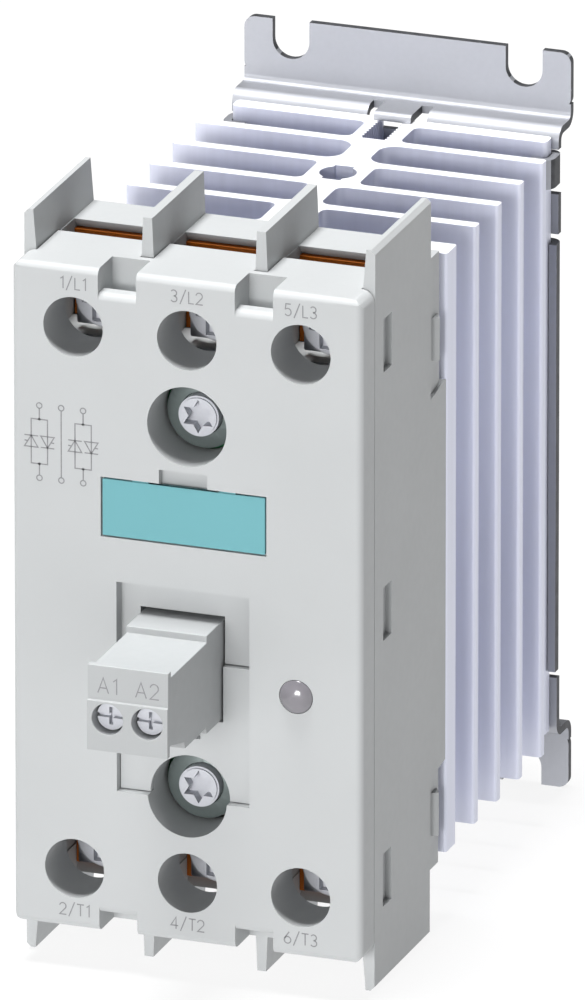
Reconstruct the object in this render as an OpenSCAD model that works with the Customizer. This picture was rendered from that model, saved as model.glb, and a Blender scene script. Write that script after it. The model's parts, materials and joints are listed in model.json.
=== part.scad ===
// Three-phase solid state relay on a finned heat sink with a rail and panel bracket.
// Millimetres. +X is to the right, +Y to the rear, +Z up. The front face looks along -Y.
// Inside the modules a depth is counted from the front face of the cover towards the rear,
// and seated() moves everything so that the origin is the centre of the rail seat.

/* [Relay body] */
// Width of the relay body
body_w = 45; // [44:0.5:48]
// Height of the cover, without the phase barriers
cover_h = 85.4; // [84.6:0.2:86]
// Height over the tips of the phase barriers
barrier_h = 95.4; // [92:0.2:98]
// Distance between neighbouring terminals
terminal_pitch = 14.6; // [14.4:0.1:14.8]
// Height of the terminal screws above and below the middle
terminal_z = 34.95; // [34.6:0.05:35.2]
// Diameter of the screwdriver holes
driver_hole_d = 7.65; // [7:0.05:8]
// Depth of the relay body from its front to the heat sink
body_depth = 30; // [29.8:0.1:30.4]

/* [Mounting wells] */
// Height of the two mounting screws above and below the middle
well_z = 23.9; // [23.6:0.1:24.2]
// Diameter of the wells
well_d = 10.2; // [9.8:0.1:10.6]

/* [Label and lamp] */
// Width of the label plate
label_w = 20.9; // [16:0.1:22]
// Height of the label plate
label_h = 7.3; // [6:0.1:8]
// Diameter of the lamp lens
lens_d = 4.25; // [3.5:0.05:5]

/* [Control plug] */
// Width of the control plug
plug_w = 10.36; // [10.2:0.02:10.5]
// Distance between the two plug screws
plug_pitch = 5.08; // [5:0.02:5.1]
// How far the plug stands out in front of the cover
plug_out = 17.8; // [17:0.1:19]

/* [Heat sink] */
// Width of the heat sink
sink_w = 45.3; // [44:0.1:47]
// Height of the heat sink
sink_h = 77.6; // [76.8:0.1:78]
// Distance from one fin to the next
fin_pitch = 8.15; // [8.1:0.01:8.2]
// Thickness of the fins
fin_t = 1.6; // [1.3:0.05:1.8]

/* [Bracket] */
// Width of the bracket
bracket_w = 42.6; // [42:0.1:43]
// Thickness of the bracket sheet
sheet_t = 1; // [0.9:0.05:1.1]
// Distance between the two mounting slots of a flange
slot_pitch = 30.4; // [28:0.1:32]
// Width of the mounting slots
slot_w = 4.8; // [4.4:0.1:5]

/* [Hidden] */
$fn = 48;

// Depth of the rail seat, the rear face of the bracket's main plate
seat_depth = 75.5;
// Clearance between the cover's roof pieces and the barriers beside them
seam = 0.05;
half_w = body_w / 2;
half_h = cover_h / 2;

// Cover
cover_skirt = 4.3;
cover_wall = 2;
cover_round = 0.95;
cover_corner = 1.6;
tongue_depth = 11.7;
tongue_t = 1.5;
collar_end = 7.5;
collar_wall = 1.1;
well_end = 7;
notch_depth = 5.1;
notch_floor = 39.7;
notch_lip = 2;
notch_step = 1.8;
notch_x = [-8.95, 8.6];
notch_w = 4.9;

// Housing
housing_front = 4.45;
housing_rear = 24.5;
housing_half_h = 42.3;
side_wall = 1.5;
top_wall = 1.2;
skirt_half_h = 39.6;
entry_rear = 17.4;
outer_barrier_front = 4.5;
inner_barrier_front = 6.3;
barrier_root_t = 1.65;
barrier_tip_t = 1.15;
partition_t = 1.5;
ledge_t = 1.1;
hook_out = 0.45;
entry_undercut = 0.9;
chamber_wall_z = 28.2;
chamber_floor = 30;
boss_front = 8.5;
boss_r = 3.5;
mount_hole_r = 2.3;

// Mounting screws
button_front = 3.95;
button_rear = 5.6;
button_r = 2.6;
star_r = 2.15;
washer_r = 4.65;

// Terminals
head_front = 10.8;
head_r = 3.75;
head_t = 1.65;
clamp_front = head_front + head_t + 0.05;
clamp_t = 0.75;
clamp_half = 4.12;
claw_t = 0.6;
claw_h = 0.65;
rail_front = entry_rear;
rail_t = 1.2;
rail_half_w = 4.9;
thread_r = 2;
thread_len = 6.9;
carrier_rear = 23.4;
link_x = [-6.4, -4.1];
link_d = [19.8, 21];
chip_front = 27.1;
ceramic_front = 27.5;
plate_front = 28.1;
plate_rear = 29.7;

// Plug
plug_x = -1.2;
plug_screw_z = -7.95;
plug_top = -1.2;
plug_rear = 7;
plug_head_r = 1.8;
plug_head_front = -16.4;
plug_shaft_r = 1.25;
pocket_x = [-9.1, 8];
pocket_z = [-24.2, 2.9];
pocket_depth = 1.8;
insert_top = -6.65;
insert_front = 1.05;
insert_rear = 2.2;
socket_x = [plug_x - plug_w / 2 - 0.25, plug_x + plug_w / 2 + 0.25];
socket_z = [-13.95, -0.55];
board_front = 9;
board_t = 1.6;

// Lamp and label
lens_x = 14;
lens_z = -9.05;
label_x = -0.45;
label_z = 12.35;
label_gap = 0.2;
label_depth = 0.65;
label_tab_x = 5.6;
label_tab_w = 2.1;

// Heat sink
base_t = 3.6;
fin_first = body_depth + 10.3;
rear_fin = [72.2, 74.5];
rear_fin_w = 41;
rear_fin_r = 0.6;
fin_r = 0.4;
key_hole_d = 4.6;
key_hole_x = 0.2;
key_hole_depth = 53.3;
key_slot = [2.45, 5.2];
screw_slot_x = [-1.45, 1.5];
screw_slot_front = 66.4;
tooth = 0.42;
tooth_pitch = 0.8;

// Bracket
plate_depth = seat_depth - sheet_t;
flange_depth = seat_depth + 4.5 - sheet_t;
flange_top = 48.2;
flange_foot = -48;
bend_r = 0.8;
wrap_r = 0.5;
shelf_top = sink_h / 2 + 0.05 + sheet_t;
tongue_x = [-2.2, 2.6];
tongue_front = 72.9;
bracket_screw_x = 0.02;
bracket_screw_z = 27.5;

// Latch spring
spring_r = 1.2;
spring_wire_r = 0.28;
spring_turns = 6;
spring_h = 11.3;
spring_ring_count = 78;

module seated() {
    translate([0, -seat_depth, 0]) children();
}

// A box between two corners, given as x, depth and z ranges
module block(x, d, z) {
    translate([x[0], d[0], z[0]]) cube([x[1] - x[0], d[1] - d[0], z[1] - z[0]]);
}

// A flat outline in x and z, thickened from depth d0 to d1
module slab(d0, d1) {
    translate([0, d1, 0]) rotate([90, 0, 0]) linear_extrude(height = d1 - d0) children();
}

// An outline in depth and z, extruded from x0 to x1
module along_x(x0, x1) {
    translate([x0, 0, 0]) rotate([90, 0, 90]) linear_extrude(height = x1 - x0) children();
}

// An outline in x and depth, extruded from z0 to z1
module along_z(z0, z1) {
    translate([0, 0, z0]) linear_extrude(height = z1 - z0) children();
}

// A cylinder whose axis runs front to rear
module rod(x, z, d0, d1, r) {
    translate([x, d1, z]) rotate([90, 0, 0]) cylinder(h = d1 - d0, r = r);
}

// A rectangle between two corners with round corners
module soft_rect(x, y, r) {
    translate([x[0] + r, y[0]]) square([x[1] - x[0] - 2 * r, y[1] - y[0]]);
    translate([x[0], y[0] + r]) square([x[1] - x[0], y[1] - y[0] - 2 * r]);
    for (cx = [x[0] + r, x[1] - r], cy = [y[0] + r, y[1] - r])
        translate([cx, cy]) circle(r);
}

// ---------------------------------------------------------------- relay body

// The cover's closed outer form, with its front edges and its corners rounded
module cover_block(rear) {
    intersection() {
        along_z(-half_h, half_h) soft_rect([-half_w, half_w], [0, rear + 5], cover_round);
        along_x(-half_w, half_w) soft_rect([0, rear + 5], [-half_h, half_h], cover_round);
        slab(0, rear) soft_rect([-half_w, half_w], [-half_h, half_h], cover_corner);
    }
}

// A notch in the cover's edge, in depth and z: a step behind a lip whose front edge is round
module notch_outline() {
    translate([-1, 0]) square([notch_depth + 1, 5]);
    translate([notch_lip, -notch_step]) square([notch_depth - notch_lip, notch_step + 1]);
    difference() {
        translate([-1, -cover_round]) square([1 + cover_round, cover_round + 0.1]);
        translate([cover_round, -cover_round]) circle(cover_round);
        translate([cover_round, -cover_round]) square([1, cover_round + 0.2]);
    }
}

// One roof piece of the cover, which reaches back over a terminal
module tongue(column, side) {
    x0 = column * terminal_pitch - terminal_pitch / 2 + barrier_root_t / 2 + seam;
    x1 = column * terminal_pitch + terminal_pitch / 2 - barrier_root_t / 2 - seam;
    inner = half_w - barrier_root_t - seam;
    x = [max(x0, -inner), min(x1, inner)];
    z = side > 0 ? [half_h - tongue_t, half_h] : [-half_h, -half_h + tongue_t];
    block(x, [cover_wall, tongue_depth], z);
}

module front_cover() color([0.86, 0.87, 0.88]) seated() {
    difference() {
        union() {
            difference() {
                cover_block(cover_skirt);
                block([-half_w + side_wall, half_w - side_wall], [cover_wall, 20],
                      [-half_h + tongue_t, half_h - tongue_t]);
            }
            for (column = [-1:1], side = [-1, 1]) {
                tongue(column, side);
                rod(column * terminal_pitch, side * terminal_z, 1, collar_end,
                    driver_hole_d / 2 + collar_wall);
            }
            for (side = [-1, 1])
                rod(0, side * well_z, 1, well_end, well_d / 2 + collar_wall);
            // Solid stock round the notches, the label recess and the plug pocket
            for (x = notch_x, side = [-1, 1])
                scale([1, 1, side]) block([x - notch_w / 2 - 1, x + notch_w / 2 + 1],
                                          [1, notch_depth + 0.9], [notch_floor - notch_step - 0.9, half_h]);
            block([label_x - label_w / 2 - 1, label_x + label_w / 2 + 1], [1, 2.9],
                  [label_z - label_h / 2 - 1, label_z + label_h / 2 + 1]);
            block([pocket_x[0] - 1, pocket_x[1] + 1], [1, 3.2], [pocket_z[0] - 1, pocket_z[1] + 1]);
            rod(lens_x, lens_z, 1, 4, lens_d / 2 + 1.2);
        }
        for (column = [-1:1], side = [-1, 1])
            rod(column * terminal_pitch, side * terminal_z, -1, 20, driver_hole_d / 2);
        for (side = [-1, 1])
            rod(0, side * well_z, -1, 20, well_d / 2);
        for (x = notch_x, side = [-1, 1])
            scale([1, 1, side]) along_x(x - notch_w / 2, x + notch_w / 2)
                translate([0, side > 0 ? notch_floor : notch_floor + 0.6]) notch_outline();
        block([label_x - label_w / 2 - label_gap, label_x + label_w / 2 + label_gap], [-1, label_depth],
              [label_z - label_h / 2 - label_gap, label_z + label_h / 2 + label_gap]);
        block([-3.6, 2.6], [-1, 1.2], [label_z + label_h / 2 - 0.8, 18]);
        for (x = [-7, 7])
            rod(label_x + x, label_z, 0, 4, 0.8);
        rod(lens_x, lens_z, -1, 10, lens_d / 2 + 0.05);
        // Plug pocket, the deeper seat of the insert and the socket hole
        block(pocket_x, [-1, pocket_depth], pocket_z);
        block(pocket_x, [-1, insert_rear + 0.05], [pocket_z[0], insert_top + 0.05]);
        block(socket_x, [-1, 10], socket_z);
    }
}

// A phase barrier that narrows towards its tip; edge says which side stays upright
module barrier(x, edge, front, side) {
    tip = barrier_h / 2;
    root = half_h - 4;
    half_root = barrier_root_t / 2;
    half_tip = barrier_tip_t / 2;
    lean = edge * (barrier_root_t - barrier_tip_t) / 2;
    scale([1, 1, side]) slab(front, housing_rear)
        difference() {
            polygon([[x - half_root, root], [x + half_root, root], [x + half_root, housing_half_h - 1],
                     [x + lean + half_tip, tip], [x + lean - half_tip, tip],
                     [x - half_root, housing_half_h - 1]]);
            if (edge != 0) translate([x + lean + edge * half_tip, tip])
                rotate(45) square(0.75, center = true);
        }
}

module base_housing() color([0.84, 0.85, 0.86]) seated() {
    inner_w = half_w - side_wall;
    inner_h = housing_half_h - top_wall;
    difference() {
        union() {
            // Four walls, open to the front and to the rear
            difference() {
                slab(housing_front, housing_rear)
                    soft_rect([-half_w, half_w], [-housing_half_h, housing_half_h], 1.2);
                block([-inner_w, inner_w], [0, 40], [-inner_h, inner_h]);
            }
            // Rear skirt that frames the module's base plate
            difference() {
                block([-half_w + 0.4, half_w - 0.4], [housing_rear - ledge_t, 28.6],
                      [-skirt_half_h, skirt_half_h]);
                block([-20.6, 20.6], [0, 40], [-38.1, 38.1]);
            }
            for (side = [-1, 1]) {
                // Ledge that closes the step between the walls and the skirt
                block([-inner_w - 0.1, inner_w + 0.1], [housing_rear - ledge_t, housing_rear],
                      side > 0 ? [38.4, inner_h + 0.1] : [-inner_h - 0.1, -38.4]);
                // Barriers and the partitions below them
                barrier(side * (half_w - barrier_root_t / 2), side, outer_barrier_front, 1);
                barrier(side * (half_w - barrier_root_t / 2), side, outer_barrier_front, -1);
                barrier(side * terminal_pitch / 2, 0, inner_barrier_front, 1);
                barrier(side * terminal_pitch / 2, 0, inner_barrier_front, -1);
                for (half = [-1, 1])
                    block([half * terminal_pitch / 2 - partition_t / 2,
                           half * terminal_pitch / 2 + partition_t / 2], [8, housing_rear],
                          side > 0 ? [chamber_wall_z, inner_h + 0.1]
                                   : [-inner_h - 0.1, -chamber_wall_z]);
                // Wall between the terminals and the electronics, with the screw boss
                block([-inner_w - 0.1, inner_w + 0.1], [11.2, 22.9],
                      side > 0 ? [chamber_wall_z, chamber_wall_z + 1]
                               : [-chamber_wall_z - 1, -chamber_wall_z]);
                block([-inner_w - 0.1, inner_w + 0.1], [11.2, entry_rear - 0.05],
                      side > 0 ? [chamber_wall_z, chamber_floor] : [-chamber_floor, -chamber_wall_z]);
                rod(0, side * well_z, boss_front, 27, boss_r);
                block([-1, 1], [12, 22.9], side > 0 ? [well_z, chamber_wall_z + 0.5]
                                                      : [-chamber_wall_z - 0.5, -well_z]);
                // Side walls that reach back over the edge of the heat sink
                along_x(side > 0 ? half_w - 1.1 : -half_w, side > 0 ? half_w : -half_w + 1.1)
                    polygon([[housing_rear - 1, -27.5], [housing_rear - 1, 21.6],
                             [29, 22.6], [body_depth, 22.6], [body_depth, -26.6]]);
                // Snap hooks that stand out from the skirt
                for (z = [[26.3, 31.8], [-35.3, -29.7]])
                    along_z(z[0], z[1]) polygon([[side * (half_w - 0.6), 25.85],
                                                 [side * (half_w + hook_out), 26.45],
                                                 [side * (half_w - 0.6), 28.4]]);
            }
        }
        // Wire entries in the top and bottom walls, and the seats of the cover's roof pieces
        for (column = [-1:1], side = [-1, 1]) {
            x0 = max(column * terminal_pitch - terminal_pitch / 2 + barrier_root_t / 2, -inner_w + 0.15);
            x1 = min(column * terminal_pitch + terminal_pitch / 2 - barrier_root_t / 2, inner_w - 0.15);
            block([x0, x1], [0, entry_rear], side > 0 ? [38, half_h + 0.1] : [-half_h - 0.1, -38]);
            // The wall behind an entry is undercut
            scale([1, 1, side]) along_x(x0, x1)
                polygon([[entry_rear - 1, housing_half_h], [entry_rear, housing_half_h],
                         [entry_rear + entry_undercut, inner_h - 0.1], [entry_rear - 1, inner_h - 0.1]]);
        }
        for (side = [-1, 1]) {
            rod(0, side * well_z, 0, 40, mount_hole_r);
            // Room for the cover's notches in front of the inner barriers
            block([-inner_w + 0.15, inner_w - 0.15], [0, inner_barrier_front],
                  side > 0 ? [38, half_h + 0.1] : [-half_h - 0.1, -38]);
            // Window for the middle bar
            block([link_x[0] - 0.1, link_x[1] + 0.1], [link_d[0] - 0.1, link_d[1] + 0.1],
                  side > 0 ? [28, 29.4] : [-29.4, -28]);
        }
        // Shallow pockets in the outer side walls
        for (side = [-1, 1], z = [-terminal_z + 0.55, 0, terminal_z - 0.45])
            block(side > 0 ? [half_w - 0.8, half_w + 1] : [-half_w - 1, -half_w + 0.8], [7.5, 10.5],
                  [z - 3.42, z + 3.42]);
    }
}

module plug_insert() color([0.84, 0.85, 0.86]) seated() difference() {
    block([pocket_x[0] + 0.1, pocket_x[1] - 0.05], [insert_front, insert_rear],
          [pocket_z[0] + 0.1, insert_top - 0.1]);
    block([socket_x[0], socket_x[1]], [0, 5], [socket_z[0], 0]);
    block([-3.6, 1.3], [0, 5], [-16.5, -14.8]);
    rod(0, -well_z, 0, 5, well_d / 2);
}

module label_plate() color([0.5, 0.76, 0.79]) seated() {
    slab(0.05, label_depth - 0.05) soft_rect([label_x - label_w / 2, label_x + label_w / 2],
                                             [label_z - label_h / 2, label_z + label_h / 2], 0.15);
    for (x = [-1, 1]) {
        rod(label_x + x * 7, label_z, label_depth - 0.15, 2.6, 0.7);
        block([label_x + x * label_tab_x - label_tab_w / 2, label_x + x * label_tab_x + label_tab_w / 2],
              [0.1, label_depth - 0.05], [label_z, label_z + label_h / 2 + label_gap - 0.02]);
    }
}

module led_lens() color([0.6, 0.59, 0.62]) seated() translate([lens_x, 0, lens_z]) rotate([90, 0, 0])
    rotate_extrude() {
        translate([0, -4.2]) square([lens_d / 2, 4.2]);
        intersection() {
            translate([0, -2.3]) circle(3.15);
            square([lens_d / 2, 2]);
        }
    }

module status_led() color([0.85, 0.2, 0.15]) seated() {
    rod(lens_x, lens_z, 6.2, 8.9, 1.5);
    rod(lens_x, lens_z, 7.9, 8.9, 1.9);
    translate([lens_x, 6.2, lens_z]) intersection() {
        sphere(1.5);
        translate([-2, -2, -2]) cube([4, 2.1, 4]);
    }
}

// ---------------------------------------------------------------- electronics

module control_board() color([0.1, 0.35, 0.2]) seated() difference() {
    block([-20.6, 20.6], [board_front, board_front + board_t], [-26.6, 26.6]);
    for (side = [-1, 1])
        rod(0, side * well_z, 0, 20, boss_r + 0.4);
    for (pole = [-1, 1])
        rod(plug_x + pole * plug_pitch / 2, -5.3, 0, 20, 0.55);
}

// Three optically isolated trigger modules behind the board
module trigger_modules() color([0.12, 0.12, 0.13]) seated()
    for (x = [-14, -4.5, 14])
        difference() {
            block([x - 3.3, x + 3.3], [board_front + board_t + 0.05, board_front + board_t + 3.6],
                  [4, 12.6]);
            rod(x - 2.2, 11.4, board_front + board_t + 3.3, 20, 0.5);
        }

module board_resistors() color([0.75, 0.62, 0.45]) seated()
    for (x = [-16, -11, 11, 16])
        translate([x, board_front + board_t + 1.2, -16]) cylinder(h = 7.5, r = 1.15);

module board_capacitor() color([0.2, 0.22, 0.3]) seated()
    rod(7.5, -3, board_front + board_t + 0.05, board_front + board_t + 9, 4);

module control_header() color([0.2, 0.35, 0.25]) seated() difference() {
    block([socket_x[0] - 1, socket_x[1] + 1], [3.3, board_front - 0.05],
          [socket_z[0] - 1, socket_z[1] + 1]);
    block(socket_x, [0, board_front - 1.4], socket_z);
    for (pole = [-1, 1])
        rod(plug_x + pole * plug_pitch / 2, -5.3, 0, 20, 0.52);
}

module header_pins() color([0.85, 0.75, 0.45]) seated()
    for (pole = [-1, 1])
        rod(plug_x + pole * plug_pitch / 2, -5.3, 2.4, board_front + board_t + 1.2, 0.5);

// ---------------------------------------------------------------- power path

// Insulating carrier behind the three terminals of one row
module terminal_carrier(side) seated() scale([1, 1, side])
    for (column = [-1:1])
        difference() {
            x0 = max(column * terminal_pitch - terminal_pitch / 2 + barrier_root_t / 2 + 0.05, -20.8);
            x1 = min(column * terminal_pitch + terminal_pitch / 2 - barrier_root_t / 2 - 0.05, 20.8);
            union() {
                block([x0, x1], [entry_rear, carrier_rear - 0.2], [31, housing_half_h - top_wall - 0.05]);
                block([x0, x1], [entry_rear, rail_front + rail_t - 0.05], [chamber_floor + 0.05, 31.1]);
            }
            x = column * terminal_pitch;
            block([x - rail_half_w - 0.05, x + rail_half_w + 0.05], [0, rail_front + rail_t + 0.05],
                  [0, 39.7]);
            rod(x, terminal_z, 0, 22.9, thread_r + 0.4);
        }

module terminal_carrier_upper() color([0.72, 0.32, 0.05]) terminal_carrier(1);

module terminal_carrier_lower() color([0.72, 0.32, 0.05]) terminal_carrier(-1);

// Upright plate of a terminal with its threaded hole, and the foot that runs down to the substrate
module rail_plate(column, side) scale([1, 1, side]) difference() {
    x = column * terminal_pitch;
    block([x - rail_half_w, x + rail_half_w], [rail_front, rail_front + rail_t], [29.6, 39.6]);
    rod(x, terminal_z, 0, 30, thread_r + 0.06);
}

module rail_foot(column, side) scale([1, 1, side]) {
    x = column * terminal_pitch;
    block([x - rail_half_w, x + rail_half_w], [rail_front, ceramic_front], [29.4, 30.6]);
    block([x - rail_half_w, x + rail_half_w], [ceramic_front - rail_t, ceramic_front], [25, 30.6]);
}

module terminal_rail(column, side) color([0.78, 0.66, 0.5]) seated() {
    rail_plate(column, side);
    rail_foot(column, side);
}

module rail_l1() terminal_rail(-1, 1);
module rail_l3() terminal_rail(1, 1);
module rail_t1() terminal_rail(-1, -1);
module rail_t3() terminal_rail(1, -1);

// The middle phase is not switched, so one bar joins its two terminals round the bosses
module link_l2_t2() color([0.78, 0.66, 0.5]) seated() {
    for (side = [-1, 1]) {
        rail_plate(0, side);
        scale([1, 1, side]) block([-rail_half_w, rail_half_w], [rail_front, 21], [29.4, 30.6]);
        scale([1, 1, side]) block(link_x, link_d, [29.4, 30.6]);
    }
    block(link_x, link_d, [-30.6, 30.6]);
}

module module_base_plate() color([0.8, 0.8, 0.82]) seated() difference() {
    block([-20.4, 20.4], [plate_front, plate_rear], [-37.9, 37.9]);
    for (side = [-1, 1])
        rod(0, side * well_z, 0, 40, mount_hole_r);
}

module ceramic_substrate() color([0.93, 0.93, 0.9]) seated()
    for (side = [-1, 1])
        block(side > 0 ? [6, 19.9] : [-19.9, -6], [ceramic_front + 0.05, plate_front], [-33, 33]);

// Two antiparallel pairs of thyristor chips, one pair in each switched phase
module thyristor_chips() color([0.45, 0.45, 0.5]) seated()
    for (x = [-1, 1], z = [-7.5, 7.5])
        block([x * terminal_pitch - 4, x * terminal_pitch + 4], [chip_front, ceramic_front + 0.05],
              [z - 4, z + 4]);

// Square clamping plate with two claws, drawn on its own axis
module clamp_plate(column, side) color([0.82, 0.83, 0.85]) seated()
    translate([column * terminal_pitch, 0, side * terminal_z]) difference() {
        union() {
            slab(clamp_front, clamp_front + clamp_t)
                soft_rect([-clamp_half, clamp_half], [-clamp_half, clamp_half], 0.25);
            for (x = [-clamp_half, clamp_half - claw_t])
                block([x, x + claw_t], [clamp_front, clamp_front + clamp_t + claw_h],
                      [-clamp_half + 0.8, clamp_half - 0.8]);
        }
        rod(0, 0, 0, 30, thread_r + 0.15);
    }

// Terminal screw with a crossed and slotted head
module terminal_screw(column, side) color([0.8, 0.81, 0.84]) seated()
    translate([column * terminal_pitch, 0, side * terminal_z]) difference() {
        union() {
            rod(0, 0, head_front + 0.15, head_front + head_t, head_r);
            rod(0, 0, head_front, head_front + head_t, head_r - 0.15);
            rod(0, 0, head_front + head_t - 0.1, head_front + head_t + thread_len - 0.6, thread_r);
            rod(0, 0, head_front + head_t - 0.1, head_front + head_t + thread_len, thread_r - 0.5);
        }
        block([-2.8, 2.8], [0, head_front + 0.9], [-0.8, 0.8]);
        block([-1.5, 1.5], [0, head_front + 1.2], [-3.05, 3.05]);
    }

module clamp_l1() clamp_plate(-1, 1);
module clamp_l2() clamp_plate(0, 1);
module clamp_l3() clamp_plate(1, 1);
module clamp_t1() clamp_plate(-1, -1);
module clamp_t2() clamp_plate(0, -1);
module clamp_t3() clamp_plate(1, -1);
module screw_l1() terminal_screw(-1, 1);
module screw_l2() terminal_screw(0, 1);
module screw_l3() terminal_screw(1, 1);
module screw_t1() terminal_screw(-1, -1);
module screw_t2() terminal_screw(0, -1);
module screw_t3() terminal_screw(1, -1);

// ---------------------------------------------------------------- fixing to the heat sink

// Two long screws with a small button head and a six-pointed recess
module mounting_screws() color([0.75, 0.76, 0.8]) seated()
    for (side = [-1, 1])
        translate([0, 0, side * well_z]) difference() {
            union() {
                rod(0, 0, button_front + 0.25, button_rear, button_r);
                rod(0, 0, button_front, button_rear, button_r - 0.25);
                rod(0, 0, button_rear - 0.1, 37, thread_r);
            }
            slab(button_front - 1, button_rear - 0.2)
                polygon([for (i = [0:11]) let (r = i % 2 == 0 ? star_r : star_r / sqrt(3))
                         [r * sin(30 * i), r * cos(30 * i)]]);
        }

// Domed washers on a narrower sleeve, which sits on the bosses of the housing
module spring_washers() color([0.2, 0.21, 0.22]) seated()
    for (side = [-1, 1])
        translate([0, boss_front - 0.05, side * well_z]) rotate([90, 0, 0]) rotate_extrude()
            polygon([[thread_r + 0.2, 0], [3.6, 0], [3.6, 2], [washer_r, 2], [washer_r, 2.65],
                     [button_r + 0.1, 3.15], [button_r + 0.1, 2.8], [thread_r + 0.2, 2.8]]);

module thermal_pad() color([0.55, 0.57, 0.6]) seated() difference() {
    block([-20.2, 20.2], [plate_rear, body_depth], [-37.5, 37.5]);
    for (side = [-1, 1])
        rod(0, side * well_z, 0, 40, mount_hole_r);
}

// One air channel beside the spine, from its wall at x0 out past the side of the sink
module channel(x0, d0, d1, r) {
    soft_rect(x0 < 0 ? [-30, x0] : [x0, 30], [d0, d1], r);
}

// Section of the heat sink: base, spine and fins
module sink_section() {
    first = fin_first;
    walls = [[-3, 3, 1.1], [-1.5, 1.95, 1.3], [-3.45, 3.95, 1.1], [-1.6, 2.1, 2.2], [-2.9, 3.5, 1.1]];
    soft_rect([-sink_w / 2, sink_w / 2], [body_depth, body_depth + base_t], 0.4);
    for (i = [0:3])
        soft_rect([-sink_w / 2, sink_w / 2], [first + i * fin_pitch, first + i * fin_pitch + fin_t], fin_r);
    soft_rect([-rear_fin_w / 2, rear_fin_w / 2], rear_fin, rear_fin_r);
    difference() {
        translate([-8, body_depth + 0.5]) square([16, rear_fin[1] - body_depth - 0.5]);
        for (i = [0:4], edge = [0, 1])
            channel(walls[i][edge], i == 0 ? body_depth + base_t : first + (i - 1) * fin_pitch + fin_t,
                    i == 4 ? rear_fin[0] : first + i * fin_pitch, walls[i][2]);
    }
}

module heat_sink() color([0.84, 0.85, 0.9]) seated() difference() {
    along_z(-sink_h / 2, sink_h / 2) difference() {
        sink_section();
        // Round channel with two key slots
        translate([key_hole_x, key_hole_depth]) {
            circle(key_hole_d / 2);
            square(key_slot, center = true);
        }
        // Serrated screw slot that opens to the rear
        translate([screw_slot_x[0], screw_slot_front])
            square([screw_slot_x[1] - screw_slot_x[0], rear_fin[1] + 1 - screw_slot_front]);
        for (i = [0:8], x = screw_slot_x)
            translate([x, screw_slot_front + 0.7 + i * tooth_pitch]) rotate(45) square(tooth, center = true);
    }
    for (side = [-1, 1])
        rod(0, side * well_z, 0, 37.6, thread_r + 0.05);
}

// ---------------------------------------------------------------- bracket

// A quarter of a flat ring; the quadrant is given by the signs sx and sy
module quarter_ring(x, y, r0, r1, sx, sy) {
    translate([x, y]) intersection() {
        difference() {
            circle(r1);
            circle(r0);
        }
        scale([sx, sy]) square(r1 + 1);
    }
}

// Section of the sheet from the main plate over a shelf to a flange, in depth and z
module s_bend(plate_end, flange_start) {
    outer = bend_r + sheet_t;
    front_centre = plate_depth + outer;
    rear_centre = flange_depth - bend_r;
    translate([plate_depth, plate_end]) square([sheet_t, shelf_top - outer - plate_end]);
    quarter_ring(front_centre, shelf_top - outer, bend_r, outer, -1, 1);
    translate([front_centre, shelf_top - sheet_t]) square([rear_centre - front_centre, sheet_t]);
    quarter_ring(rear_centre, shelf_top + bend_r, bend_r, outer, 1, -1);
    translate([flange_depth, shelf_top + bend_r]) square([sheet_t, flange_start - shelf_top - bend_r]);
}

// Section of a sheet edge that is bent forward round the end of the rear fin, in x and depth
module side_wrap(front, lip) {
    inner_x = rear_fin_w / 2 + 0.1;
    difference() {
        soft_rect([inner_x - 6, inner_x + sheet_t], [lip ? front : front - 3, seat_depth],
                  wrap_r + sheet_t);
        soft_rect([inner_x - 12, inner_x], [lip ? front + sheet_t : front - 9, plate_depth], wrap_r);
        translate([inner_x - 7, front - 1]) square([5, plate_depth - front + 1]);
        if (!lip) translate([inner_x - 9, front - 9]) square([20, 9]);
    }
}

// Open slot for a fixing screw, cut from the free edge of a flange
module open_slot(x, z, w, out) {
    rod(x, z, seat_depth + 2, seat_depth + 8, w / 2);
    block([x - w / 2, x + w / 2], [seat_depth + 2, seat_depth + 8], out > 0 ? [z, z + 6] : [z - 6, z]);
}

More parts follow.
